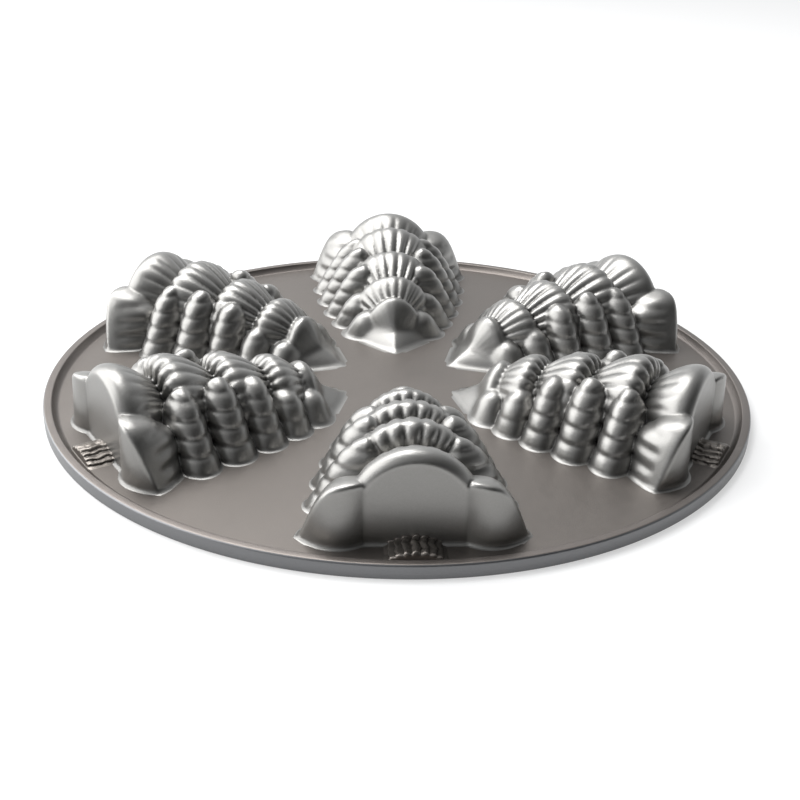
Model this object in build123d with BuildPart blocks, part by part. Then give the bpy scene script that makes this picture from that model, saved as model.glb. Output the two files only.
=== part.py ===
"""Round cake pan with six tree-shaped moulds, lying upside down on its rim.

Millimetres, +Z up.  The origin is the centre of the face that rests on the table.
Each tree points at the centre of the pan, and its flat base faces the rim.  The
real pan is one casting, so the parts below are its natural regions.  They meet
face to face: the rim, the plate, and a mould and a trunk pocket for each tree.
"""

import os
from math import cos, radians, sin, sqrt

from build123d import *

os.makedirs("parts", exist_ok=True)

# Plate and rim
pan_diameter = 320.0
plate_thickness = 3.0
rim_height = 6.0
rim_land = 4.0
rim_cove = 2.5
rim_rounding = 1.0

# Trees, measured outside: their tips stand this far from the pan's centre
tree_count = 6
first_tree_angle = 30.0
tip_distance = 30.0
tree_height = 41.0
tree_half_width = 45.5
mould_wall = 3.0

# Base of a tree: a flat panel between two wings that bulge towards the rim
panel_half_width = 19.0
wing_bulge = 3.6
wing_setback = 5.6
wing_size = 0.95
wing_overlap = 1.0

# Ribs that make the boughs look like shells, counted from foot to foot
rib_count = 16
rib_depth = 1.1

# Trunk pockets, from the base of each tree to a strip of plate beside the rim
trunk_length = 11.0
trunk_half_width = 10.0
trunk_rise = 4.5
trunk_wall = 2.5
trunk_gap = 0.5
trunk_ribs = 7
bark_depth = 0.7

# Boughs from base to tip.  Each row holds the station of the bough's front along the
# tree, its reach sideways and its height, as shares of the tree's length, half width
# and height.
side_boughs = (
    (1.000, 1.00, 0.75),
    (0.826, 0.91, 0.78),
    (0.679, 0.85, 0.80),
    (0.527, 0.77, 0.71),
    (0.390, 0.67, 0.45),
    (0.268, 0.56, 0.38),
    (0.150, 0.40, 0.28),
)
ridge_boughs = (
    (1.000, 0.65, 1.00),
    (0.795, 0.57, 0.98),
    (0.570, 0.53, 0.865),
    (0.370, 0.50, 0.74),
    (0.235, 0.41, 0.56),
)

# Reach and height of the tree at its tip, and of the base face beside the first bough
tip_size = (0.12, 0.18)
base_size = (0.90, 0.92)

# A bough is largest a little behind its front and shrinks to a valley before the next.
# Inside the mould the largest place moves back by a share of the wall.
crest_place = 0.28
crest_lag = 0.4
side_valley = 0.80
ridge_valley = 0.74

# Centre of a bough's arch, as a share of its reach on the sides and of its height on the ridge
side_centre = 0.23
ridge_centre = 0.22

rim_outside = pan_diameter / 2
plate_radius = rim_outside - rim_land - rim_cove
trunk_end = plate_radius - trunk_gap
base_distance = trunk_end - trunk_length
tree_length = base_distance - tip_distance
tree_angles = [first_tree_angle + index * 360 / tree_count for index in range(tree_count)]


def across(distance):
    """Plane square to the tree's axis: local X is sideways, local Y is up."""
    return Plane(origin=(distance, 0, 0), x_dir=(0, 1, 0), z_dir=(1, 0, 0))


def envelope(boughs, valley, inset):
    """Reach and height of a row of boughs at its base, crests, valleys and tip, from the base on."""
    rows = [
        (tip_distance + front * tree_length, tree_half_width * reach, tree_height * height)
        for front, reach, height in boughs
    ]
    tip = (tip_distance, tree_half_width * tip_size[0], tree_height * tip_size[1])
    nodes = [(rows[0][0] - inset, rows[0][1] * base_size[0], rows[0][2] * base_size[1])]
    for row, following in zip(rows, rows[1:] + [tip]):
        crest = row[0] - crest_place * (row[0] - following[0]) - crest_lag * inset
        nodes.append((crest, row[1], row[2]))
        if following is not tip:
            reach = (row[1] + following[1]) / 2 * valley
            height = (row[2] + following[2]) / 2 * valley
            nodes.append((following[0], reach, height))
    nodes.append((tip[0] + inset, tip[1] + inset, tip[2] + inset))
    return nodes


def at(nodes, distance):
    """Reach and height at a distance, on straight lines between the nodes."""
    for near, far in zip(nodes, nodes[1:]):
        if far[0] <= distance <= near[0]:
            share = (near[0] - distance) / (near[0] - far[0])
            return [first + share * (last - first) for first, last in zip(near[1:], far[1:])]
    return nodes[-1][1:]


def arch_radius(angle, centre, width, rise):
    """Distance from the middle of the tree's foot to an elliptic arch, at an angle above the
    plate, or to the point nearest the arch where that line misses it.
    """
    turn = radians(angle)
    sideways, up = abs(cos(turn)), sin(turn)
    square = (sideways / width) ** 2 + (up / rise) ** 2
    slope = centre[0] * sideways / width**2 + centre[1] * up / rise**2
    rest = (centre[0] / width) ** 2 + (centre[1] / rise) ** 2 - 1
    return (slope + sqrt(max(slope**2 - square * rest, 0.0))) / square


def section_radius(angle, distance, inset):
    """Radius of the whole tree at one angle: whichever bough stands further out."""
    reach, height = at(side_nodes[inset], distance)
    centre = reach * side_centre
    side = arch_radius(angle, (centre, 0), reach - centre - inset, height - plate_thickness - inset)
    reach, height = at(ridge_nodes[inset], distance)
    centre = height * ridge_centre
    ridge = arch_radius(angle, (0, centre), reach - inset, height - plate_thickness - centre - inset)
    return max(side, ridge)


def tree_outline(distance, inset):
    """Section of the tree: ribs from foot to foot on a straight-sided land as thick as the plate."""

    def point(angle, depth):
        radius = section_radius(angle, distance, inset) - depth
        return radius * cos(radians(angle)), plate_thickness + radius * sin(radians(angle))

    step = 180 / rib_count
    depth = rib_depth * at(ridge_nodes[0.0], distance)[1] / tree_height
    valleys = [point(index * step, depth) for index in range(rib_count + 1)]
    crests = [point((index + 0.5) * step, 0.0) for index in range(rib_count)]
    with BuildLine() as outline:
        for first, crest, last in zip(valleys, crests, valleys[1:]):
            ThreePointArc(first, crest, last)
        Polyline(valleys[-1], (valleys[-1][0], 0), (valleys[0][0], 0), valleys[0])
    return outline.line


side_nodes = {inset: envelope(side_boughs, side_valley, inset) for inset in (0.0, mould_wall)}
ridge_nodes = {inset: envelope(ridge_boughs, ridge_valley, inset) for inset in (0.0, mould_wall)}


def wings_form(inset):
    """The two wings that bulge towards the rim beside the flat panel."""
    reach = tree_half_width * wing_size
    centre = reach * side_centre
    width = reach - centre - inset
    rise = tree_height * side_boughs[0][2] * wing_size - plate_thickness - inset
    foot, top = centre + width, plate_thickness + rise
    shoulder = (centre + width * sqrt(0.5), plate_thickness + rise * sqrt(0.5))
    face = base_distance - inset
    corner = (face - wing_setback, foot)
    middle = (face + wing_bulge, (panel_half_width + foot) / 2)
    back = corner[0] - wing_overlap
    with BuildPart() as form:
        with BuildSketch(across(back)):
            with BuildLine():
                Polyline((centre, top), (0, top), (0, 0), (foot, 0), (foot, plate_thickness))
                ThreePointArc((foot, plate_thickness), shoulder, (centre, top))
            make_face()
        extrude(amount=face + wing_bulge - back)
        with BuildSketch():
            with BuildLine():
                Polyline(corner, (back, foot), (back, panel_half_width), (face, panel_half_width))
                ThreePointArc((face, panel_half_width), middle, corner)
            make_face()
        extrude(amount=tree_height, mode=Mode.INTERSECT)
        mirror(about=Plane.XZ)
    return form.part


def tree_form(inset):
    """Solid tree, smaller all round by the inset."""
    distances = sorted({round(node[0], 3) for node in side_nodes[inset] + ridge_nodes[inset]})
    with BuildPart() as form:
        for distance in distances:
            with BuildSketch(across(distance)):
                add(tree_outline(distance, inset))
                make_face()
        loft(ruled=True)
        add(wings_form(inset))
    return form.part


def trunk_form(inset):
    """Low ribbed arch from inside the base of the tree towards the rim."""
    start = base_distance - mould_wall - wing_overlap
    half_width, rise = trunk_half_width - inset, trunk_rise - inset
    depth = bark_depth * rise / trunk_rise

    def point(index, size):
        turn = radians(index * 180 / trunk_ribs)
        return (half_width - size) * cos(turn), plate_thickness + (rise - size) * sin(turn)

    valleys = [point(index, depth) for index in range(trunk_ribs + 1)]
    crests = [point(index + 0.5, 0.0) for index in range(trunk_ribs)]
    with BuildPart() as form:
        with BuildSketch(across(start)):
            with BuildLine():
                for first, crest, last in zip(valleys, crests, valleys[1:]):
                    ThreePointArc(first, crest, last)
                Polyline(valleys[-1], (valleys[-1][0], 0), (valleys[0][0], 0), valleys[0])
            make_face()
        extrude(amount=trunk_end - inset - start)
    return form.part


tree_outside = tree_form(0.0)
tree_inside = tree_form(mould_wall)
trunk_outside = trunk_form(0.0)
trunk_inside = trunk_form(trunk_wall)

# Mould: the shell of one tree, open downwards, with a doorway to the trunk
with BuildPart() as tree_mould:
    add(tree_outside)
    add(tree_inside, mode=Mode.SUBTRACT)
    add(trunk_inside, mode=Mode.SUBTRACT)

# Trunk pocket: a small shell from the base of the tree towards the rim
with BuildPart() as trunk_pocket:
    add(trunk_outside)
    add(tree_outside, mode=Mode.SUBTRACT)
    add(trunk_inside, mode=Mode.SUBTRACT)

# Plate between the moulds
with BuildPart() as plate:
    with BuildSketch():
        Circle(plate_radius)
    extrude(amount=plate_thickness)
    add([tree_outside.rotate(Axis.Z, angle) for angle in tree_angles], mode=Mode.SUBTRACT)
    add([trunk_outside.rotate(Axis.Z, angle) for angle in tree_angles], mode=Mode.SUBTRACT)
plate.part.label = "plate"
export_step(plate.part, "parts/plate.step")

# Rim: raised band round the plate, with a cove down to it
with BuildPart() as rim:
    with BuildSketch(Plane.XZ):
        with BuildLine():
            Polyline(
                (plate_radius, 0),
                (rim_outside, 0),
                (rim_outside, rim_height),
                (rim_outside - rim_land, rim_height),
                (plate_radius, plate_thickness),
                close=True,
            )
        make_face()
    revolve(axis=Axis.Z)
    top_edges = rim.edges().filter_by(GeomType.CIRCLE).group_by(Axis.Z)[-1]
    fillet(top_edges.sort_by(SortBy.RADIUS)[-1], rim_rounding)
rim.part.label = "rim"
export_step(rim.part, "parts/rim.step")

for number, angle in enumerate(tree_angles, start=1):
    mould = tree_mould.part.rotate(Axis.Z, angle)
    mould.label = f"tree_mould_{number}"
    export_step(mould, f"parts/tree_mould_{number}.step")
    pocket = trunk_pocket.part.rotate(Axis.Z, angle)
    pocket.label = f"trunk_pocket_{number}"
    export_step(pocket, f"parts/trunk_pocket_{number}.step")
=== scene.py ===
# %% [markdown]
# # A cake pan with six tree moulds
#
# This is a lesson in dressing a CAD model. The real thing is one aluminium casting, lying
# upside down on its rim: a flat plate, a raised rim, and six hollow trees whose tips point
# at the middle. The CAD model gives the main sizes. Here each region gets the soft shape and
# the satin, slightly grainy skin of a casting.
#
# The first step loads the CAD model. Its pieces are never moved or changed: a piece either
# keeps its place and gets a better material, or a finer one stands in for it. So the dressed
# pan still fits wherever the CAD model fits.

from math import cos, radians, sin

import bpy
from mathutils import Matrix, Vector


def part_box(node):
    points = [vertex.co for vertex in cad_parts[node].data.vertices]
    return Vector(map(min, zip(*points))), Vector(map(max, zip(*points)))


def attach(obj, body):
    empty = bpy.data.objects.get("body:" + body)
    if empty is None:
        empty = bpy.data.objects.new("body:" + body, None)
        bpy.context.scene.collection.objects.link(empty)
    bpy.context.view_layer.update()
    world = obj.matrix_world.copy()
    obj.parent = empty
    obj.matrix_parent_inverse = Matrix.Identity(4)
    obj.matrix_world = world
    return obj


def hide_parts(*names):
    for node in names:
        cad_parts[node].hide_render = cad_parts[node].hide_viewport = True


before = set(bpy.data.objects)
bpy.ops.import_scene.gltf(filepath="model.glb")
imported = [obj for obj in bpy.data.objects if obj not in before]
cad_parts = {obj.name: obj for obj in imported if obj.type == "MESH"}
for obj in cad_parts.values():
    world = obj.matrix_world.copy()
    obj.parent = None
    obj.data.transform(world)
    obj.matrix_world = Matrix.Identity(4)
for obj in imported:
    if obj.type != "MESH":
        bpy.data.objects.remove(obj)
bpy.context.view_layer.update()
print("CAD model:", sorted(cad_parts))

# %% [markdown]
# ## Sizes
#
# A maker's drawing is in millimetres, so the sums below are too, and the finished meshes are
# in metres. What the CAD model knows is read from it: the rim, the plate, and where the trees
# and their trunks start and end. The rest are the casting's own sizes.

# %% Sizes read from the CAD model
mm = 0.001
rim_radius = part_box("rim")[1].x / mm
rim_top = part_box("rim")[1].z / mm
plate_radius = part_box("plate")[1].x / mm
plate_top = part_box("plate")[1].z / mm
tree_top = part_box("tree_mould_2")[1].z / mm
tip_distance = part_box("tree_mould_2")[0].y / mm
bulge_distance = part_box("tree_mould_2")[1].y / mm
trunk_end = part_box("trunk_pocket_2")[1].y / mm
print(f"rim: {rim_radius:.1f} from the middle, {rim_top:.1f} high")
print(f"trees: from {tip_distance:.1f} to {bulge_distance:.1f}, {tree_top:.1f} high")

# %% Sizes of the trees
tree_count = 6
first_tree_angle = 30
tree_half_width = 45.5
mould_wall = 3.0
base_bulge = 3.6
base_distance = bulge_distance - base_bulge
print(f"{tree_count} trees, flat panels {base_distance:.1f} from the middle")

# %% [markdown]
# ## Writing formulas as nodes
#
# A tree is a pile of boughs with soft grooves between them, like clay pressed together. Such a
# shape is hard to draw as faces, and easy to write as a formula: a number for every point of
# space that is negative inside the metal, positive outside, and zero on its skin. Two forms
# are joined by taking the smaller number, and one is cut by another with the larger.
#
# Geometry Nodes work such a formula out on Math nodes. Placed by hand there would be hundreds,
# so the small class below writes them: adding two values makes an Add node, and so on.

# %% A value in a node tree
class Value:
    """A number that a node tree works out, or takes as an input."""

    def __init__(self, tree, socket):
        self.tree = tree
        self.socket = socket

    def math(self, operation, *others, swap=False):
        """What a Math node of this operation makes of this value and the others."""
        node = self.tree.nodes.new("ShaderNodeMath")
        node.operation = operation
        values = (*others, self) if swap else (self, *others)
        for socket, value in zip(node.inputs, values):
            if isinstance(value, Value):
                self.tree.links.new(value.socket, socket)
            else:
                socket.default_value = value
        return Value(self.tree, node.outputs[0])

    def __add__(self, other):
        return self.math("ADD", other)

    def __radd__(self, other):
        return self.math("ADD", other)

    def __sub__(self, other):
        return self.math("SUBTRACT", other)

    def __rsub__(self, other):
        return self.math("SUBTRACT", other, swap=True)

    def __mul__(self, other):
        return self.math("MULTIPLY", other)

    def __rmul__(self, other):
        return self.math("MULTIPLY", other)

    def __truediv__(self, other):
        return self.math("DIVIDE", other)

    def __rtruediv__(self, other):
        return self.math("DIVIDE", other, swap=True)

    def __pow__(self, other):
        return self.math("POWER", other)

    def __neg__(self):
        return self.math("MULTIPLY", -1.0)

    def __abs__(self):
        return self.math("ABSOLUTE")


# %% Ways to join and cut forms
def larger(first, second):
    """The larger number, which is what two forms share."""
    return first.math("MAXIMUM", second)


def smaller(first, second):
    """The smaller number, which is two forms as one."""
    return first.math("MINIMUM", second)


def between_0_and_1(value):
    return smaller(larger(value, 0.0), 1.0)


def slanted_side(first, second):
    """Length of the slanted side of a right triangle."""
    return (first * first + second * second).math("SQRT")


def pressed_together(first, second, softness):
    """Two forms as one, with a soft groove between them."""
    return first.math("SMOOTH_MIN", second, softness)


def joined_with_fillet(first, second, radius):
    """Two forms as one, with a hollow fillet of this radius between them."""
    corner = slanted_side(larger(radius - first, 0.0), larger(radius - second, 0.0))
    return larger(smaller(first, second), radius) - corner


def shared_with_round(first, second, radius):
    """What two forms share, with its edge rounded to this radius."""
    corner = slanted_side(larger(first + radius, 0.0), larger(second + radius, 0.0))
    return smaller(larger(first, second), -radius) + corner


def nodes_in_a_fillet():
    """How many Math nodes one fillet takes, counted in a node tree made for the purpose."""
    trial = bpy.data.node_groups.new("trial", "GeometryNodeTree")
    form = Value(trial, trial.nodes.new("ShaderNodeValue").outputs[0])
    joined_with_fillet(form, form, 1.0)
    count = len(trial.nodes) - 1
    bpy.data.node_groups.remove(trial)
    return count


print("one line for a fillet writes", nodes_in_a_fillet(), "Math nodes")


# %% Node groups with named inputs
number = "NodeSocketFloat"


def number_rows(**defaults):
    """Rows of a name, a socket type and a default, for sockets that hold numbers."""
    return [(name.replace("_", " "), number, default) for name, default in defaults.items()]


def new_group(kind, name, inputs, outputs):
    """An empty node group with named sockets, and the nodes that carry them."""
    tree = bpy.data.node_groups.new(name, kind)
    for direction, rows in (("INPUT", inputs), ("OUTPUT", outputs)):
        for label, socket_type, default in rows:
            socket = tree.interface.new_socket(label, in_out=direction, socket_type=socket_type)
            if default is not None:
                socket.default_value = default
    return tree, tree.nodes.new("NodeGroupInput"), tree.nodes.new("NodeGroupOutput")


def place_group(tree, kind, group, values):
    """A group node in a tree, with a number or a worked-out value at each named input."""
    node = tree.nodes.new(kind)
    node.node_tree = group
    for label, value in values.items():
        if isinstance(value, Value):
            tree.links.new(value.socket, node.inputs[label])
        else:
            node.inputs[label].default_value = value
    return node


def place_form(tree, group, values):
    """The number that a form's group gives, as a value of the tree."""
    return Value(tree, place_group(tree, "GeometryNodeGroup", group, values).outputs[0])


# %% [markdown]
# ## One bough
#
# On the real pan a bough is a ribbed lump like half a shell: an arch seen from the base of the
# tree, round at its front, with a long back that slopes towards the tip. The carver cut ribs
# into it that fan out from its foot.
#
# A bough could be sculpted by hand, but each tree has seventeen that differ only in size. So
# one formula makes them all, in a node group with a named input for each size.
#
# The formula first asks how far a point is from the arch, then how far it is from the crest
# along the tree, and rounds the two together. An arch is an ellipse for the boughs on the
# ridge. For those on the sides a straight flank cuts its shoulder off, as in the photograph.
# Taper makes the upper part of a bough shorter, and the slope behind a crest starts slowly, so
# that the crest is round and not an edge.

# %% Inputs of a bough
point_rows = number_rows(Along=0.0, Sideways=0.0, Up=0.0, Inset=0.0)
bough_rows = point_rows + number_rows(
    Crest=134.0,
    Front=5.0,
    Back=20.0,
    Centre_Out=0.0,
    Centre_Up=3.0,
    Reach=30.0,
    Inner_Reach=30.0,
    Rise=30.0,
    Shoulder=1.0,
    Arch_Power=2.0,
    Front_Swell=6.0,
    Back_Swell=12.0,
    Fullness=2.0,
    Taper=0.0,
    Ribs=9.0,
    Rib_Focus=90.0,
    Bead_Height=1000.0,
    Rib_Depth=1.2,
    Rib_Softness=0.08,
    Rib_Narrowness=1.0,
    Rib_Fan=0.3,
    Rib_Start=1000.0,
    Crest_Ribs=1.0,
)
print("a bough has", len(bough_rows), "inputs")

# %% Sizes that all boughs share
inset_lag = 0.4  # how far the hollow's boughs draw back, as a share of the wall
rib_fade_length = 5.0
rib_fade_behind = 0.2  # share of a rib that is lost towards the bough's far end
rib_fade_inside = 0.15  # share of a rib that each millimetre of wall hides
crest_width = 3.0
crest_width_behind = 11.0
first_bead = 3.5  # height of the lowest bead's middle above the foot
front_taper = 0.3  # share of the taper that a bough's short front gets
crest_ease = 0.08  # how slowly the back slope starts, as a share of its length
almost_nothing = 0.00001  # keeps a division from meeting zero
print(f"ribs are weaker from {crest_width} before a crest to {crest_width_behind} behind it")


# %% The bough formula
def arch_distance(given, out, up):
    """Distance from a point's foot to the arch, and from the foot to the point."""
    inset, power = given["Inset"], given["Arch Power"]
    outer = larger(out, 0.0) / (given["Reach"] - inset)
    inner = larger(-out, 0.0) / (given["Inner Reach"] - inset)
    up_share = up / (given["Rise"] - inset)
    flank = outer + inner + up_share * (1.0 - given["Shoulder"])
    level = (up_share**power + flank**power) ** (1.0 / power)
    radius = slanted_side(out, up) + almost_nothing
    return radius / (level + almost_nothing), radius


def rib_groove(given, out, up, behind, ahead):
    """Depth of the grooves between ribs that fan out, or between beads that lie in a pile."""
    soft = given["Rib Softness"]
    turn = up.math("ARCTAN2", out) - given["Rib Focus"] * radians(1)
    turn = turn * (given["Rib Fan"] * behind + 1.0)
    rise = (up - first_bead) * radians(180) / given["Bead Height"]
    lobe = ((turn * given["Ribs"] + rise).math("COSINE") ** 2.0 + soft).math("SQRT")
    shape = ((soft + 1.0).math("SQRT") - lobe) ** given["Rib Narrowness"]
    started = between_0_and_1((given["Rib Start"] - given["Along"]) / rib_fade_length)
    faded = (1.0 - rib_fade_behind * smaller(behind, 1.0)) * (1.0 - given["Inset"] * rib_fade_inside)
    off_crest = smaller(larger(ahead / crest_width, -ahead / crest_width_behind), 1.0)
    at_crest = off_crest + given["Crest Ribs"] * (1.0 - off_crest)
    return given["Rib Depth"] * shape * started * faded * at_crest


def eased_start(share):
    """A share from 0 to 1 that starts slowly, so that a crest is round and not an edge."""
    at_one = (1 + crest_ease**2) ** 0.5 - crest_ease
    return (slanted_side(share, crest_ease) - crest_ease) / at_one


def make_bough():
    tree, inputs, outputs = new_group("GeometryNodeTree", "bough", bough_rows, number_rows(Distance=None))
    given = {name: Value(tree, inputs.outputs[name]) for name, _, _ in bough_rows}
    lag = given["Inset"] * inset_lag
    ahead = given["Along"] - given["Crest"] + lag
    out = given["Sideways"] - given["Centre Out"]
    up = larger(given["Up"] - given["Centre Up"], 0.0)
    arch, radius = arch_distance(given, out, up)
    taper = given["Taper"] * smaller(up / given["Rise"], 1.0)
    groove = rib_groove(given, out, up, larger(-ahead, 0.0) / given["Back"], ahead)
    back = (given["Back"] - groove) * (1.0 - taper) - lag
    front = (given["Front"] - groove) * (1.0 - taper * front_taper) - lag
    back_share = eased_start(larger(-ahead, 0.0) / back)
    front_share = larger(ahead, 0.0) / front
    in_front = ahead.math("GREATER_THAN", 0.0)
    swell = given["Back Swell"] + in_front * (given["Front Swell"] - given["Back Swell"])
    fullness = given["Fullness"] + in_front * (2.0 - given["Fullness"])
    radial_share = larger((radius - arch + groove) / swell + 1.0, 0.0)
    size = (radial_share**fullness + (back_share + front_share) ** fullness) ** (1.0 / fullness)
    tree.links.new(((size - 1.0) * swell).socket, outputs.inputs["Distance"])
    return tree


bough = make_bough()
print("bough:", len(bough.nodes), "nodes")

# %% [markdown]
# ## The boughs of a tree
#
# Each tree has six boughs down each side, which look like piles of beads, and five on its
# ridge, which look like shells. Their sizes follow the photograph: the front of each as a share
# of the way from tip to base, and its reach and height as shares of the tree's. Shares keep the
# boughs in step when the CAD model's sizes change, which plain lengths wouldn't. The boughs on
# the sides are mirrored by using the distance from the middle, whichever side it is on.

# %% Side boughs
side_boughs = (
    dict(front=1.000, reach=0.955, height=0.70, taper=0.0, shoulder=0.50, rib_share=0.6),
    dict(front=0.826, reach=0.90, height=0.815, taper=0.4, shoulder=0.28, rib_share=0.6),
    dict(front=0.679, reach=0.845, height=0.83, taper=0.4, shoulder=0.28, rib_share=0.6),
    dict(front=0.527, reach=0.765, height=0.74, taper=0.4, shoulder=0.30, rib_share=0.5),
    dict(front=0.390, reach=0.665, height=0.49, taper=0.15, shoulder=0.50, rib_share=0.25),
    dict(front=0.268, reach=0.545, height=0.37, taper=0.1, shoulder=0.50, rib_share=0.0),
)
side_end = 0.155  # where the last one ends, as a share of the way from tip to base
side_crest = 0.45  # how far behind its front a bough is highest, as a share of its length
side_overlap = 0.9
side_centre = 0.42
side_inner_reach = 15.0
side_arch_power = 6.0
side_swell = 0.29
side_bead_height = 6.4
side_rib_softness = 0.04
side_rib_narrowness = 1.8
side_groove = 1.0
print("side boughs:", len(side_boughs))

# %% Side boughs in a row
tree_rows = number_rows(
    Base_Distance=base_distance,
    Tip_Distance=tip_distance,
    Height=tree_top,
    Half_Width=tree_half_width,
    Rib_Depth=1.5,
)
print("a tree has", len(tree_rows), "sizes")


def side_bough(given, here, row, following):
    """The inputs of a side bough that reaches back to the one that follows it."""
    length = given["Base Distance"] - given["Tip Distance"]
    pitch = length * (row["front"] - following)
    reach = given["Half Width"] * row["reach"]
    return {
        **here,
        "Crest": given["Tip Distance"] + length * row["front"] - pitch * side_crest,
        "Front": pitch * side_crest + side_overlap,
        "Back": pitch * (1 - side_crest) + side_overlap,
        "Centre Out": reach * side_centre,
        "Centre Up": plate_top,
        "Reach": reach * (1 - side_centre),
        "Inner Reach": side_inner_reach,
        "Rise": given["Height"] * row["height"] - plate_top,
        "Shoulder": row["shoulder"],
        "Arch Power": side_arch_power,
        "Front Swell": reach * side_swell,
        "Back Swell": reach * side_swell,
        "Taper": row["taper"],
        "Ribs": 0.0,
        "Bead Height": side_bead_height,
        "Rib Depth": given["Rib Depth"] * row["rib_share"],
        "Rib Softness": side_rib_softness,
        "Rib Narrowness": side_rib_narrowness,
    }


def side_row(tree, given, here):
    """The side boughs from base to tip, without the first."""
    fronts = [row["front"] for row in side_boughs] + [side_end]
    forms = [
        place_form(tree, bough, side_bough(given, here, row, following))
        for row, following in list(zip(side_boughs, fronts[1:]))[1:]
    ]
    whole = forms[0]
    for form in forms[1:]:
        whole = pressed_together(whole, form, side_groove)
    return whole


# %% Ridge boughs
ridge_boughs = (
    dict(front=1.000, reach=0.555, height=0.975, centre=12.6, fullness=1.4, arch_power=2.0, rib_share=0.55),
    dict(front=0.795, reach=0.56, height=0.960, centre=12.0, fullness=1.4, arch_power=2.0, rib_share=1.0),
    dict(front=0.570, reach=0.52, height=0.845, centre=10.6, fullness=1.4, arch_power=2.0, rib_share=1.0),
    dict(front=0.370, reach=0.43, height=0.710, centre=9.0, fullness=1.4, arch_power=2.0, rib_share=0.7),
    dict(front=0.235, reach=0.33, height=0.570, centre=4.0, fullness=1.4, arch_power=1.8, rib_share=0.08),
)
ridge_end = 0.16  # where the last one ends, as a share of the way from tip to base
ridge_setback = 5.0
ridge_front = 5.5
ridge_front_swell = 6.0
ridge_overlap = (5.0, 5.0, 5.0, 4.0, 2.5)
ridge_ribs = 12.0
ridge_rib_softness = 0.03
ridge_rib_narrowness = 1.3
ridge_rib_fan = 0.1
ridge_crest_ribs = 0.3
ridge_groove = 2.2
print("ridge boughs:", len(ridge_boughs))


# %% Ridge boughs in a row
def ridge_bough(given, here, row, following, overlap):
    """The inputs of a ridge bough that reaches a little into the one that follows it."""
    length = given["Base Distance"] - given["Tip Distance"]
    rise = given["Height"] * row["height"] - row["centre"]
    return {
        **here,
        "Crest": given["Tip Distance"] + length * row["front"] - ridge_setback,
        "Front": ridge_front,
        "Back": length * (row["front"] - following) + overlap,
        "Centre Up": row["centre"],
        "Reach": given["Half Width"] * row["reach"],
        "Rise": rise,
        "Arch Power": row["arch_power"],
        "Front Swell": ridge_front_swell,
        "Back Swell": rise,
        "Fullness": row["fullness"],
        "Ribs": ridge_ribs,
        "Rib Depth": given["Rib Depth"] * row["rib_share"],
        "Rib Softness": ridge_rib_softness,
        "Rib Narrowness": ridge_rib_narrowness,
        "Rib Fan": ridge_rib_fan,
        "Crest Ribs": ridge_crest_ribs,
    }


def ridge_row(tree, given, here, first):
    """The first ridge bough with the others pressed to it, from base to tip."""
    fronts = [row["front"] for row in ridge_boughs] + [ridge_end]
    whole = first
    for row, following, overlap in list(zip(ridge_boughs, fronts[1:], ridge_overlap))[1:]:
        form = place_form(tree, bough, ridge_bough(given, here, row, following, overlap))
        whole = pressed_together(whole, form, ridge_groove)
    return whole


# %% [markdown]
# ## The base of a tree
#
# The flat base is the trunk end of the tree. In the middle is a plain upright panel with an
# arched top, whose edge is rounded like a finger. On either side of it the first side bough
# ends in a plain wing that bulges a little towards the rim, leans back a little, and meets its
# ribbed flank in a crisp edge. Panel and wings could be forms of their own, but then their
# outline would have to be fitted to the boughs behind them. So the first bough of each row is
# made longer than it is and cut off: the ridge bough by the panel's plane, the side bough by a
# face that is bowed in plan. The panel's rounding is laid a little in front of its plane, so
# that it ends in a clear line.

# %% Panel and wings
uncut_front = 30.0
panel_half_width = 19.0
panel_round = 6.0
panel_round_lead = 1.0
behind_panel = 3.0
panel_lap = 1.0
wing_bow = 5.4
wing_setback = 5.6
wing_lean = 0.10
wing_width = 24.2
wing_foot_round = 1.0
wing_top_round = 1.7
wing_side_round = 0.7
wing_fullness = 1.6
wing_centre = 22.0
first_ribs_start = 5.0
first_rib_softness = 0.2
first_rib_narrowness = 1.0
print(f"the panel is {2 * panel_half_width} wide, each wing {wing_width}")


# %% Cut the base
def base_faces(given, here):
    """How far a point is in front of the panel, and how far the wings bow out in front of it."""
    panel = here["Along"] - given["Base Distance"] + here["Inset"]
    share = larger(here["Sideways"] - panel_half_width, 0.0) / wing_width
    full_bow_at_half = 4 * wing_bow
    bow = share * (1.0 - share) * full_bow_at_half - share * wing_setback
    lean = larger(here["Up"] - plate_top, 0.0) * share * wing_lean
    return panel, bow - lean


def first_side_bough(tree, given, here, panel, bow):
    """The side bough that is cut off by a wing, with its edges a little rounded."""
    values = side_bough(given, here, side_boughs[0], side_boughs[1]["front"])
    values.update({
        "Back": values["Back"] + (given["Base Distance"] - values["Crest"]),
        "Crest": given["Base Distance"],
        "Front": uncut_front,
        "Front Swell": uncut_front,
        "Centre Out": wing_centre,
        "Reach": given["Half Width"] * side_boughs[0]["reach"] - wing_centre,
        "Fullness": wing_fullness,
        "Rib Start": given["Base Distance"] + bow - first_ribs_start,
        "Rib Softness": first_rib_softness,
        "Rib Narrowness": first_rib_narrowness,
    })
    inset, out = here["Inset"], here["Sideways"]
    beside_panel = shared_with_round(panel - bow, panel_half_width - out + inset, wing_side_round)
    between_wings = larger(panel + behind_panel, out - panel_half_width - panel_lap)
    edge_round = wing_foot_round + (wing_top_round - wing_foot_round) * here["Up"] / given["Height"]
    front = smaller(beside_panel, between_wings)
    return shared_with_round(place_form(tree, bough, values), front, edge_round)


def first_ridge_bough(tree, given, here, panel):
    """The ridge bough that is cut off by the panel, with a round edge."""
    values = ridge_bough(given, here, ridge_boughs[0], ridge_boughs[1]["front"], ridge_overlap[0])
    values.update({
        "Front": uncut_front,
        "Front Swell": uncut_front,
        "Rib Start": given["Base Distance"] - panel_round,
    })
    rounded = shared_with_round(place_form(tree, bough, values), panel - panel_round_lead, panel_round)
    return larger(rounded, panel)


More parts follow.
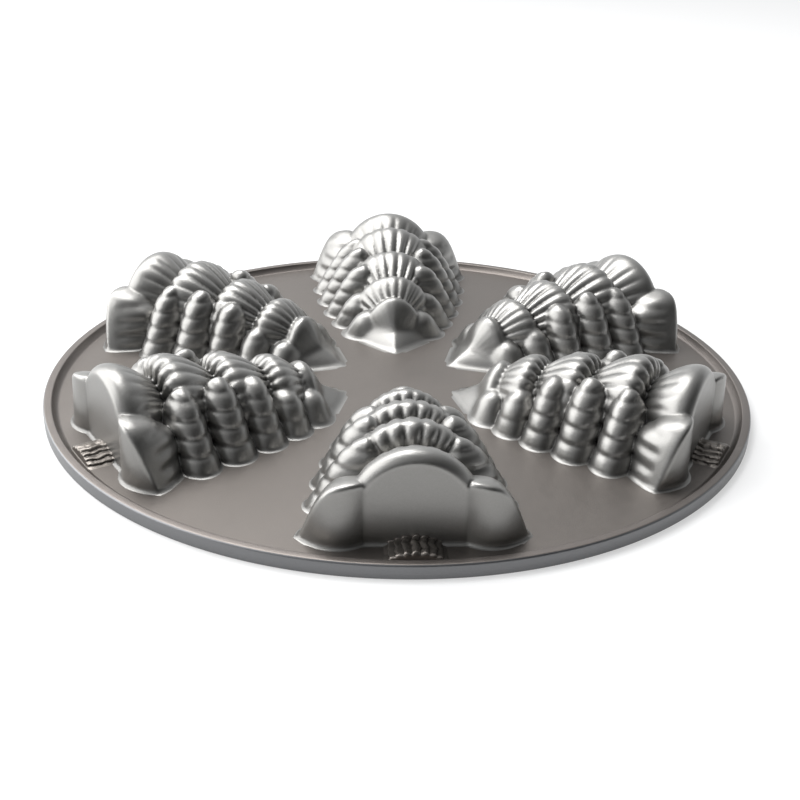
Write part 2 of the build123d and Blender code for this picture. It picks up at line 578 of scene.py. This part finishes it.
# %% [markdown]
# ## The tip of a tree
#
# At its tip the real tree has no ribs. It ends in a smooth nose with a keel along the top, like
# the bow of a small boat turned over. The bough's formula would only be in the way here, so the
# nose gets a short one of its own: a cone whose section is nearly a triangle, because the power
# that rounds it is near 1.

# %% Nose at the tip
nose_length = 21.0
nose_half_width = 20.0
nose_height = 11.5
nose_keel = 1.35
nose_fullness = 1.1
print(f"the nose is {nose_length} long and {nose_height} high")


def nose(given, here):
    """The smooth keeled cone at the tip."""
    inset = here["Inset"]
    behind = larger(given["Tip Distance"] + nose_length - here["Along"], 0.0)
    out_share = here["Sideways"] / (nose_half_width - inset)
    up_share = larger(here["Up"] - plate_top, 0.0) / (nose_height - inset)
    level = (out_share**nose_keel + up_share**nose_keel) ** (1 / nose_keel)
    behind_share = behind / (nose_length - inset)
    size = (level**nose_fullness + behind_share**nose_fullness) ** (1 / nose_fullness)
    return (size - 1.0) * nose_height


# %% [markdown]
# ## A whole tree
#
# Now the boughs are pressed together. The rows get a soft groove between their boughs, and
# the tip blends into the last ones. Boolean modifiers could join meshes of them too, but would
# leave hard creases, and the real carving has none. The group keeps the tree's sizes as inputs,
# and Inset makes every part of it thinner at once, which gives the hollow inside.

# %% Tree form
row_groove = 1.2
tip_blend = 5.0


def make_tree_form():
    rows = point_rows + tree_rows
    tree, inputs, outputs = new_group("GeometryNodeTree", "tree form", rows, number_rows(Distance=None))
    given = {name: Value(tree, inputs.outputs[name]) for name, _, _ in rows}
    here = {name: given[name] for name, _, _ in point_rows}
    here["Sideways"] = abs(here["Sideways"])
    panel, bow = base_faces(given, here)
    first_side = first_side_bough(tree, given, here, panel, bow)
    first_ridge = first_ridge_bough(tree, given, here, panel)
    sides = pressed_together(first_side, side_row(tree, given, here), side_groove)
    whole = pressed_together(sides, ridge_row(tree, given, here, first_ridge), row_groove)
    whole = pressed_together(whole, nose(given, here), tip_blend)
    whole = larger(whole, panel - bow)
    tree.links.new(whole.socket, outputs.inputs["Distance"])
    return tree


tree_form = make_tree_form()
print("tree form:", len(tree_form.nodes), "nodes, each bough group counted as one")

# %% [markdown]
# ## The trunk
#
# Between the panel and the rim lies a short, low trunk, cut with wavy strands of bark that run
# from the tree to the rim. They are ribs like a bough's, which noise shifts sideways along the
# trunk, so that no strand is straight, and cuts across here and there. A bump in the material
# could draw them too, but they are deep enough to show in the trunk's outline.

# %% Trunk form
trunk_half_width = 11.0
trunk_rise = 4.1
trunk_arch_power = 1.5
trunk_wall = 2.5
trunk_end_round = 1.2
bark_strands = 8.0
bark_depth = 1.3
bark_softness = 0.03
bark_detail = 1.0
bark_wander = 3.2
wander_length = 4.0
wander_turns = 1.1
wander_seed = 0.5
bark_breaks = 0.5
break_length = 2.2
break_turns = bark_strands / 3
break_seed = 7.5
noise_middle = 0.5  # a noise node gives 0 to 1
print(f"the trunk is {2 * trunk_half_width} wide and {trunk_rise} high")


# %% Bark
def bark_noise(tree, along, turn, length, turns, seed):
    """Noise from -0.5 to 0.5 that changes along the trunk and round it."""
    place = tree.nodes.new("ShaderNodeCombineXYZ")
    tree.links.new((along / length).socket, place.inputs[0])
    tree.links.new((turn * turns).socket, place.inputs[1])
    place.inputs[2].default_value = seed
    noise = tree.nodes.new("ShaderNodeTexNoise")
    tree.links.new(place.outputs[0], noise.inputs["Vector"])
    noise.inputs["Scale"].default_value = 1.0
    noise.inputs["Detail"].default_value = bark_detail
    return Value(tree, noise.outputs[0]) - noise_middle


def make_trunk_form():
    rows = point_rows + number_rows(Bark_Depth=bark_depth)
    tree, inputs, outputs = new_group("GeometryNodeTree", "trunk form", rows, number_rows(Distance=None))
    given = {name: Value(tree, inputs.outputs[name]) for name, _, _ in rows}
    along, out, inset = given["Along"], given["Sideways"], given["Inset"]
    up = larger(given["Up"] - plate_top, 0.0)
    out_share, up_share = abs(out) / (trunk_half_width - inset), up / (trunk_rise - inset)
    radius = slanted_side(out, up) + almost_nothing
    level = (out_share**trunk_arch_power + up_share**trunk_arch_power) ** (1 / trunk_arch_power)
    arch = radius / (level + almost_nothing)
    turn = up.math("ARCTAN2", out * trunk_rise / trunk_half_width)
    wander = bark_wander * bark_noise(tree, along, turn, wander_length, wander_turns, wander_seed)
    lobe = ((turn * bark_strands + wander).math("COSINE") ** 2.0 + bark_softness).math("SQRT")
    broken = bark_breaks * bark_noise(tree, along, turn, break_length, break_turns, break_seed)
    groove = given["Bark Depth"] * larger(1.0 - lobe + broken, 0.0) * (1.0 - inset / trunk_wall)
    body = shared_with_round(radius - arch + groove, along - trunk_end + inset, trunk_end_round)
    tree.links.new(body.socket, outputs.inputs["Distance"])
    return tree


trunk_form = make_trunk_form()
print("trunk form:", len(trunk_form.nodes), "nodes")

# %% [markdown]
# ## From formula to metal
#
# A Volume Cube asks the formula at the corners of small cubes, and Volume to Mesh lays a skin
# where it passes zero. Smaller cubes give crisper ribs and more triangles; three quarters of a
# millimetre keeps a tree under the limit for one piece. The same few nodes serve the trees and
# the trunks, so they are written once.

# %% Skin a formula
geometry_row = [("Geometry", "NodeSocketGeometry", None)]
skin_density = 1.0  # the fog's density where the formula is zero


def point_in_mm(tree):
    """Along, Sideways and Up at each point of space, for a tree that lies along X."""
    position = tree.nodes.new("GeometryNodeInputPosition")
    parts = tree.nodes.new("ShaderNodeSeparateXYZ")
    tree.links.new(position.outputs[0], parts.inputs[0])
    names = ("Along", "Sideways", "Up")
    return {name: Value(tree, parts.outputs[axis]) / mm for axis, name in enumerate(names)}


def skin_formula(tree, outputs, solid, low, high, voxel, material):
    """Lay a skin where the formula passes zero, inside a box, and give it its material."""
    cube = tree.nodes.new("GeometryNodeVolumeCube")
    tree.links.new((skin_density - solid).socket, cube.inputs["Density"])
    cube.inputs["Min"].default_value = Vector(low) * mm
    cube.inputs["Max"].default_value = Vector(high) * mm
    for axis, first, last in zip("XYZ", low, high):
        cube.inputs[f"Resolution {axis}"].default_value = round((last - first) / voxel) + 1
    skin = tree.nodes.new("GeometryNodeVolumeToMesh")
    skin.inputs["Threshold"].default_value = skin_density
    smooth = tree.nodes.new("GeometryNodeSetShadeSmooth")
    real = tree.nodes.new("GeometryNodeRealizeInstances")
    finish = tree.nodes.new("GeometryNodeSetMaterial")
    finish.inputs["Material"].default_value = material
    tree.links.new(cube.outputs["Volume"], skin.inputs["Volume"])
    tree.links.new(skin.outputs["Mesh"], smooth.inputs["Geometry"])
    tree.links.new(smooth.outputs["Geometry"], real.inputs["Geometry"])
    tree.links.new(real.outputs["Geometry"], finish.inputs["Geometry"])
    tree.links.new(finish.outputs["Geometry"], outputs.inputs["Geometry"])


def plain_mesh(name, tree):
    """What a Geometry Nodes tree makes, as a mesh with no modifier left on it."""
    carrier = bpy.data.objects.new(name, bpy.data.meshes.new(name))
    bpy.context.scene.collection.objects.link(carrier)
    modifier = carrier.modifiers.new(name, "NODES")
    modifier.node_group = tree
    graph = bpy.context.evaluated_depsgraph_get()
    mesh = bpy.data.meshes.new_from_object(carrier.evaluated_get(graph))
    bpy.data.objects.remove(carrier)
    triangles = sum(len(face.vertices) - 2 for face in mesh.polygons)
    print(f"{name}: {triangles} triangles")
    return mesh


# %% Put a copy at each tree
def turned_copies(mesh, name, nodes):
    """A copy of a mesh at the place of each tree, standing for that tree's CAD node."""
    for index, node in enumerate(nodes):
        copy = mesh.copy()
        copy.transform(Matrix.Rotation(radians(first_tree_angle + index * 360 / tree_count), 4, "Z"))
        piece = bpy.data.objects.new(f"{name}_{index + 1}", copy)
        bpy.context.scene.collection.objects.link(piece)
        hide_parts(node)
        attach(piece, "root")
    print(name, "stands for", nodes)


# %% [markdown]
# ## The finish
#
# The pan is cast aluminium under a satin coat the colour of warm stone. Three things make it
# look like that: a broad, soft highlight; a very fine grain from the blasted surface, which
# breaks the highlight up; and faint, slow changes of tone. Handling rubs the crests of the ribs
# a little brighter and smoother. The grooves are painted darker, partly as painted shade and
# partly for the coat that gathers there. Images could be painted for
# all of that, but noise never repeats or blurs, and Pointiness finds crests and grooves by
# itself. It is one node group, and each material places it with its own values.

# %% Skin of the casting
grain_contrast = 0.14
cloud_contrast = 0.16
mottle_contrast = 0.10
mottle_depth = 0.03
mottle_roughness = 0.10
cloud_roughness = 0.08
fine_detail = 3.0
cloud_detail = 4.0
flat_pointiness = 0.5
pointiness_range = 0.06
worn_brightness = 0.30
# grooves darker: painted shade, with the coat that gathers there
groove_shade_and_coat = 0.60
worn_smoothness = 0.10
print(f"crests are up to {worn_brightness:.0%} brighter, grooves up to {groove_shade_and_coat:.0%} darker")


# %% Skin as a node group
def make_cast_skin():
    rows = [("Tone", "NodeSocketColor", (0.3, 0.27, 0.25, 1))]
    rows += number_rows(
        Roughness=0.4,
        Grain_Size=0.5,
        Grain_Depth=0.02,
        Mottle_Size=4.0,
        Cloud_Size=35.0,
        Wear=1.0,
    )
    results = [
        ("Colour", "NodeSocketColor", None),
        ("Roughness", number, None),
        ("Normal", "NodeSocketVector", None),
    ]
    tree, inputs, outputs = new_group("ShaderNodeTree", "cast skin", rows, results)
    given = {name: Value(tree, inputs.outputs[name]) for name, _, _ in rows}
    in_object = tree.nodes.new("ShaderNodeTexCoord").outputs["Object"]

    def noise(size, detail):
        """Noise from -0.5 to 0.5 whose lumps are this many millimetres across."""
        node = tree.nodes.new("ShaderNodeTexNoise")
        tree.links.new(in_object, node.inputs["Vector"])
        tree.links.new((1.0 / (size * mm)).socket, node.inputs["Scale"])
        node.inputs["Detail"].default_value = detail
        return Value(tree, node.outputs[0]) - noise_middle

    grain = noise(given["Grain Size"], fine_detail)
    mottle = noise(given["Mottle Size"], fine_detail)
    cloud = noise(given["Cloud Size"], cloud_detail)
    shape = tree.nodes.new("ShaderNodeNewGeometry").outputs["Pointiness"]
    relief = (Value(tree, shape) - flat_pointiness) / pointiness_range
    crests = between_0_and_1(relief) * given["Wear"]
    # grooves: where painted shade and gathered coat darken the colour
    grooves = between_0_and_1(-relief) * given["Wear"]

    brightness = 1.0 + grain_contrast * grain + cloud_contrast * cloud + mottle_contrast * mottle
    scale = tree.nodes.new("ShaderNodeVectorMath")
    scale.operation = "SCALE"
    tree.links.new(inputs.outputs["Tone"], scale.inputs[0])
    # crests brighter for wear; grooves darker as painted shade and gathered coat
    brightness = brightness + worn_brightness * crests - groove_shade_and_coat * grooves
    tree.links.new(brightness.socket, scale.inputs["Scale"])
    tree.links.new(scale.outputs[0], outputs.inputs["Colour"])

    rough = given["Roughness"] + mottle_roughness * mottle + cloud_roughness * cloud
    rough = rough - worn_smoothness * crests
    tree.links.new(rough.socket, outputs.inputs["Roughness"])

    bump = tree.nodes.new("ShaderNodeBump")
    bump.inputs["Distance"].default_value = mm
    height = grain * given["Grain Depth"] + mottle * mottle_depth
    tree.links.new(height.socket, bump.inputs["Height"])
    tree.links.new(bump.outputs[0], outputs.inputs["Normal"])
    return tree


cast_skin = make_cast_skin()
print("cast skin:", len(cast_skin.nodes), "nodes")

# %% Coats
metal_share = 0.85


def cast_coat(name, tone, roughness, grain_size, grain_depth, wear_and_shade):
    """Satin coat on cast aluminium."""
    material = bpy.data.materials.new(name)
    material.use_nodes = True
    tree = material.node_tree
    coat = tree.nodes["Principled BSDF"]
    coat.inputs["Metallic"].default_value = metal_share
    skin = place_group(tree, "ShaderNodeGroup", cast_skin, {
        "Tone": (*tone, 1),
        "Roughness": roughness,
        "Grain Size": grain_size,
        "Grain Depth": grain_depth,
        "Wear": wear_and_shade,
    })
    tree.links.new(skin.outputs["Colour"], coat.inputs["Base Color"])
    tree.links.new(skin.outputs["Roughness"], coat.inputs["Roughness"])
    tree.links.new(skin.outputs["Normal"], coat.inputs["Normal"])
    return material


# name, tone, roughness, grain size and depth in millimetres, wear and painted groove shade
tree_coat = cast_coat("tree_coat", (0.26, 0.255, 0.245), 0.38, 0.6, 0.03, 1.0)
# the plate and the rim's top carry the trees' coat painted darker and warmer: painted shade
plate_coat_painted_shade = cast_coat("plate_coat_painted_shade", (0.145, 0.131, 0.120), 0.48, 0.5, 0.04, 0.0)
rim_coat_painted_shade = cast_coat("rim_coat_painted_shade", (0.158, 0.141, 0.130), 0.42, 0.5, 0.035, 0.4)
# the skirt's coat: the rim's coat painted cooler and lighter, a painted reflection
skirt_painted_reflection_coat = cast_coat("skirt_painted_reflection_coat", (0.18, 0.182, 0.187), 0.42, 0.5, 0.035, 0.4)
trunk_coat = cast_coat("trunk_coat", (0.185, 0.168, 0.152), 0.38, 0.6, 0.02, 1.0)
print("materials:", [material.name for material in bpy.data.materials])

# %% [markdown]
# ## The tree moulds
#
# On the real pan each tree is a shell that opens downwards, to hold the batter. A Solidify
# modifier could give a skin its wall, but would fold over itself in the grooves. Here a mould
# is the tree's form with the same form, one wall smaller, taken out of it, and a doorway for
# the trunk. Where it meets the plate, a narrow apron runs out and sinks into the plate, so that
# the fillet round the foot is part of the mould and no seam shows.

# %% Tree mould
tree_voxel = 0.75
apron_width = 5.0
apron_rise = 0.05
apron_slope = 0.06
foot_fillet = 1.6
smallest_wall = 2.5
under_plate = 0.1
doorway_lap = 1.0
room_beside = 2.0
room_above = 1.0
room_below = 1.0


def make_tree_mould():
    rows = geometry_row + tree_rows + number_rows(Wall=mould_wall)
    tree, inputs, outputs = new_group("GeometryNodeTree", "tree mould", rows, geometry_row)
    sizes = {name: Value(tree, inputs.outputs[name]) for name, _, _ in tree_rows}
    wall = Value(tree, inputs.outputs["Wall"])
    here = point_in_mm(tree)
    outside = place_form(tree, tree_form, {**here, **sizes})
    inside = place_form(tree, tree_form, {**here, **sizes, "Inset": wall})
    trunk_inside = place_form(tree, trunk_form, {**here, "Inset": trunk_wall})
    doorway = larger(trunk_inside, base_distance - mould_wall - doorway_lap - here["Along"])
    hollow = smaller(larger(inside, outside + smallest_wall), doorway)
    apron = here["Up"] - plate_top - apron_rise + apron_slope * larger(outside, 0.0)
    skin = larger(joined_with_fillet(outside, apron, foot_fillet), outside - apron_width)
    solid = larger(larger(skin, -hollow), under_plate - here["Up"])
    margin = apron_width + room_beside
    low = (tip_distance - margin, -tree_half_width - margin, -room_below)
    high = (bulge_distance + margin, tree_half_width + margin, tree_top + room_above)
    skin_formula(tree, outputs, solid, low, high, tree_voxel, tree_coat)
    return tree


mould_mesh = plain_mesh("tree_mould", make_tree_mould())
mould_nodes = [f"tree_mould_{index + 1}" for index in range(tree_count)]
turned_copies(mould_mesh, "tree_casting", mould_nodes)

# %% [markdown]
# ## The trunk pockets
#
# The trunks are low shells that open into the trees. The same way of working makes them, with
# finer cubes because the bark is small. They could be part of the trees' formula, but then the
# whole tree would need the fine cubes. Their aprons sink into the plate and into the flat panel
# behind them.

# %% Trunk pocket
trunk_voxel = 0.3
bark_fillet = 0.6
bark_apron_width = 1.5
bark_apron_rise = 0.06
bark_apron_slope = 0.08
trunk_room = 3.0


def make_trunk_pocket():
    tree, inputs, outputs = new_group("GeometryNodeTree", "trunk pocket", geometry_row, geometry_row)
    here = point_in_mm(tree)
    outside = place_form(tree, trunk_form, here)
    hollow = place_form(tree, trunk_form, {**here, "Inset": trunk_wall})
    rise = bark_apron_rise - bark_apron_slope * larger(outside, 0.0)
    apron = smaller(here["Up"] - plate_top - rise, here["Along"] - base_distance - rise)
    skin = larger(joined_with_fillet(outside, apron, bark_fillet), outside - bark_apron_width)
    solid = larger(larger(skin, -hollow), base_distance - bark_apron_width - here["Along"])
    solid = larger(solid, under_plate - here["Up"])
    low = (base_distance - trunk_room, -trunk_half_width - trunk_room, -room_below)
    high = (trunk_end + trunk_room, trunk_half_width + trunk_room, plate_top + trunk_rise + trunk_room)
    skin_formula(tree, outputs, solid, low, high, trunk_voxel, trunk_coat)
    return tree


trunk_mesh = plain_mesh("trunk_pocket", make_trunk_pocket())
trunk_nodes = [f"trunk_pocket_{index + 1}" for index in range(tree_count)]
turned_copies(trunk_mesh, "trunk_casting", trunk_nodes)

# %% [markdown]
# ## The rim
#
# The rim is a turned shape, the same all the way round, so one outline of its section is spun.
# A Screw modifier does that. Bevels on a plain ring would give round edges too, but not the
# hollow cove, so the outline has it all: a rounded outer edge, a soft inner edge, and a cove
# that meets the plate level, so that no hard line shows there. The upright skirt gets a cooler,
# lighter copy of the top's coat: a painted reflection, since the real rim has one coat all over.

# %% Section of the rim
rim_land = 4.0
outer_round = 1.0
inner_round = 0.8
bottom_round = 0.5
cove_lean = 25
cove_foot = 0.9
cove_rise = 0.28
cove_end_rise = 0.03
plate_lap = 0.4
lap_sink = 0.05
arc_steps = 6


def arc(centre, radius, first, last, steps=arc_steps):
    """Points on an arc, from one angle to another."""
    turns = [radians(first + (last - first) * step / steps) for step in range(steps + 1)]
    return [(centre[0] + radius * cos(turn), centre[1] + radius * sin(turn)) for turn in turns]


def rim_section():
    """The outline of the rim: its distance from the middle and its height, all the way round."""
    land_end = rim_radius - rim_land + inner_round
    return [
        (plate_radius - plate_lap, 0.0),
        *arc((rim_radius - bottom_round, bottom_round), bottom_round, -90, 0),
        *arc((rim_radius - outer_round, rim_top - outer_round), outer_round, 0, 90),
        *arc((land_end, rim_top - inner_round), inner_round, 90, 180 - cove_lean),
        (plate_radius + cove_foot, plate_top + cove_rise),
        (plate_radius, plate_top + cove_end_rise),
        (plate_radius - plate_lap, plate_top - lap_sink),
    ]


print("rim section:", len(rim_section()), "points")

# %% Spin the rim
rim_steps = 360
sharp_edge_angle = 40
skirt_facing = 0.6


def make_rim():
    mesh = bpy.data.meshes.new("rim_casting")
    points = [(out * mm, 0, up * mm) for out, up in rim_section()]
    edges = [(index, (index + 1) % len(points)) for index in range(len(points))]
    mesh.from_pydata(points, edges, [])
    piece = bpy.data.objects.new("rim_casting", mesh)
    bpy.context.scene.collection.objects.link(piece)
    spin = piece.modifiers.new("spin", "SCREW")
    spin.steps = rim_steps
    spin.render_steps = rim_steps
    spin.use_merge_vertices = True
    spin.use_normal_calculate = True
    graph = bpy.context.evaluated_depsgraph_get()
    turned = bpy.data.meshes.new_from_object(piece.evaluated_get(graph))
    piece.modifiers.clear()
    piece.data = turned
    # the rim's top gets the coat painted darker: painted shade
    turned.materials.append(rim_coat_painted_shade)
    turned.materials.append(skirt_painted_reflection_coat)
    # faces that look outwards get the skirt's painted reflection
    for face in turned.polygons:
        outwards = face.normal.xy.dot(face.center.xy.normalized())
        face.material_index = int(outwards > skirt_facing)
    turned.shade_smooth()
    turned.set_sharp_from_angle(angle=radians(sharp_edge_angle))
    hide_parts("rim")
    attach(piece, "root")
    print(f"rim: {len(turned.polygons)} faces")


make_rim()

# %% [markdown]
# ## The plate
#
# The plate is the flat disc that carries the trees. It could be built again here, but its CAD
# shape is right as it is, so it only gets its finish.

# %% Plate
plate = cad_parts["plate"]
# the plate's coat is the trees' coat painted darker: painted shade
for slot in plate.material_slots:
    slot.material = plate_coat_painted_shade
print("plate keeps its CAD mesh:", len(plate.data.polygons), "faces")

# %% [markdown]
# ## Camera
#
# A camera could be placed by eye. This one was fitted to the photograph by the rim's ellipse
# and the tops of the trees, so that the picture can be compared with it. It looks down at about
# 25 degrees from 570 mm away, turned by 3 degrees so that the nearest tree stands a little to
# the right.

# %% Camera
picture_width = 800
focal_pixels = 1215.3
camera_distance = 570.0
camera_height_angle = radians(25.39)
camera_turn = radians(-3.04)
camera_roll = radians(1.41)
target = Vector((1.25, 0, -8.19))


def make_camera():
    data = bpy.data.cameras.new("camera")
    data.lens = focal_pixels / picture_width * data.sensor_width
    camera = bpy.data.objects.new("camera", data)
    bpy.context.scene.collection.objects.link(camera)
    seat = Vector((0, -cos(camera_height_angle), sin(camera_height_angle))) * camera_distance
    turn = Matrix.Rotation(camera_turn, 4, "Z")
    look = (target - seat).to_track_quat("-Z", "Y").to_matrix().to_4x4()
    roll = Matrix.Rotation(camera_roll, 4, "Z")
    camera.matrix_world = turn @ Matrix.Translation(seat * mm) @ look @ roll
    bpy.context.scene.camera = camera
    return camera


camera = make_camera()
print("camera at", [round(value, 3) for value in camera.matrix_world.translation])

# %% [markdown]
# ## Floor
#
# The floor is white paper. Stronger lamps would make it white too, but would burn out the
# metal. So towards the camera, and in what the metal mirrors, the paper glows a little. It
# reads as white and still keeps the pan's shadow.

# %% Floor
floor_half = 3.0
floor_gap = 0.05
paper_tone = 0.45
paper_roughness = 0.9
paper_glow = 0.50


def make_paper():
    paper = bpy.data.materials.new("paper")
    paper.use_nodes = True
    tree = paper.node_tree
    shader = tree.nodes["Principled BSDF"]
    shader.inputs["Base Color"].default_value = (paper_tone, paper_tone, paper_tone, 1)
    shader.inputs["Roughness"].default_value = paper_roughness
    shader.inputs["Specular IOR Level"].default_value = 0.0
    ray = tree.nodes.new("ShaderNodeLightPath")
    seen = larger(Value(tree, ray.outputs["Is Camera Ray"]), Value(tree, ray.outputs["Is Glossy Ray"]))
    seen = larger(seen, Value(tree, ray.outputs["Is Transmission Ray"]))
    glow = tree.nodes.new("ShaderNodeEmission")
    tree.links.new((seen * paper_glow).socket, glow.inputs["Strength"])
    both = tree.nodes.new("ShaderNodeAddShader")
    tree.links.new(glow.outputs[0], both.inputs[0])
    tree.links.new(shader.outputs[0], both.inputs[1])
    tree.links.new(both.outputs[0], tree.nodes["Material Output"].inputs["Surface"])
    return paper


def make_floor():
    mesh = bpy.data.meshes.new("floor")
    corners = [(-1, -1), (1, -1), (1, 1), (-1, 1)]
    points = [(x * floor_half, y * floor_half, -floor_gap * mm) for x, y in corners]
    mesh.from_pydata(points, [], [(0, 1, 2, 3)])
    mesh.materials.append(make_paper())
    floor = bpy.data.objects.new("floor", mesh)
    bpy.context.scene.collection.objects.link(floor)


make_floor()
print("floor:", 2 * floor_half, "metres square")

# %% [markdown]
# ## Light
#
# A metal surface shows what stands around it, so the room decides how it looks. The pan was
# photographed with the light on its left: the left flanks are almost white, the right ones
# are in half shade. Lamps alone would leave the rest of the metal black. So a large soft panel
# on the left and a smaller one above make the highlights, and the room itself is bright at the
# back and on the left, and dim at the front and on the right. At the height of the horizon it
# is white on the left and at the back, and dims towards the front.

# %% Soft panels
def make_panel(name, seat, size, power):
    """A square soft light that faces the middle of the pan."""
    data = bpy.data.lights.new(name, "AREA")
    data.size = size
    data.energy = power
    lamp = bpy.data.objects.new(name, data)
    bpy.context.scene.collection.objects.link(lamp)
    lamp.matrix_world = Matrix.Translation(seat) @ (-seat).to_track_quat("-Z", "Y").to_matrix().to_4x4()
    print(f"{name}: {power} watts")


make_panel("left_panel", Vector((-1.0, 0.2, 0.5)), size=1.4, power=19.0)
make_panel("top_panel", Vector((-0.3, 0.5, 1.15)), size=0.8, power=15.0)

# %% Room
room_level = 0.60
room_rightwards = -0.60
room_backwards = 0.55
horizon_rightwards = -0.25
horizon_backwards = 0.95
horizon_top = 0.12
room_start = 0.45
room_tone = (0.96, 0.98, 1.0)


def make_room():
    """A world whose strength depends on the direction, with an even tone."""
    world = bpy.data.worlds.new("room")
    bpy.context.scene.world = world
    world.use_nodes = True
    tree = world.node_tree
    direction = tree.nodes.new("ShaderNodeTexCoord").outputs["Generated"]
    parts = tree.nodes.new("ShaderNodeSeparateXYZ")
    tree.links.new(direction, parts.inputs[0])
    right, back, up = (Value(tree, parts.outputs[axis]) for axis in range(3))
    studio = larger(right * room_rightwards + back * room_backwards + room_level, 0.0)
    horizon = between_0_and_1(right * horizon_rightwards + back * horizon_backwards + 1.0)
    above = between_0_and_1((up - horizon_top) / (room_start - horizon_top))
    background = tree.nodes["Background"]
    background.inputs["Color"].default_value = (*room_tone, 1)
    tree.links.new((above * (studio - horizon) + horizon).socket, background.inputs["Strength"])
    bpy.context.scene.view_settings.view_transform = "Standard"


make_room()
print("view:", bpy.context.scene.view_settings.view_transform)
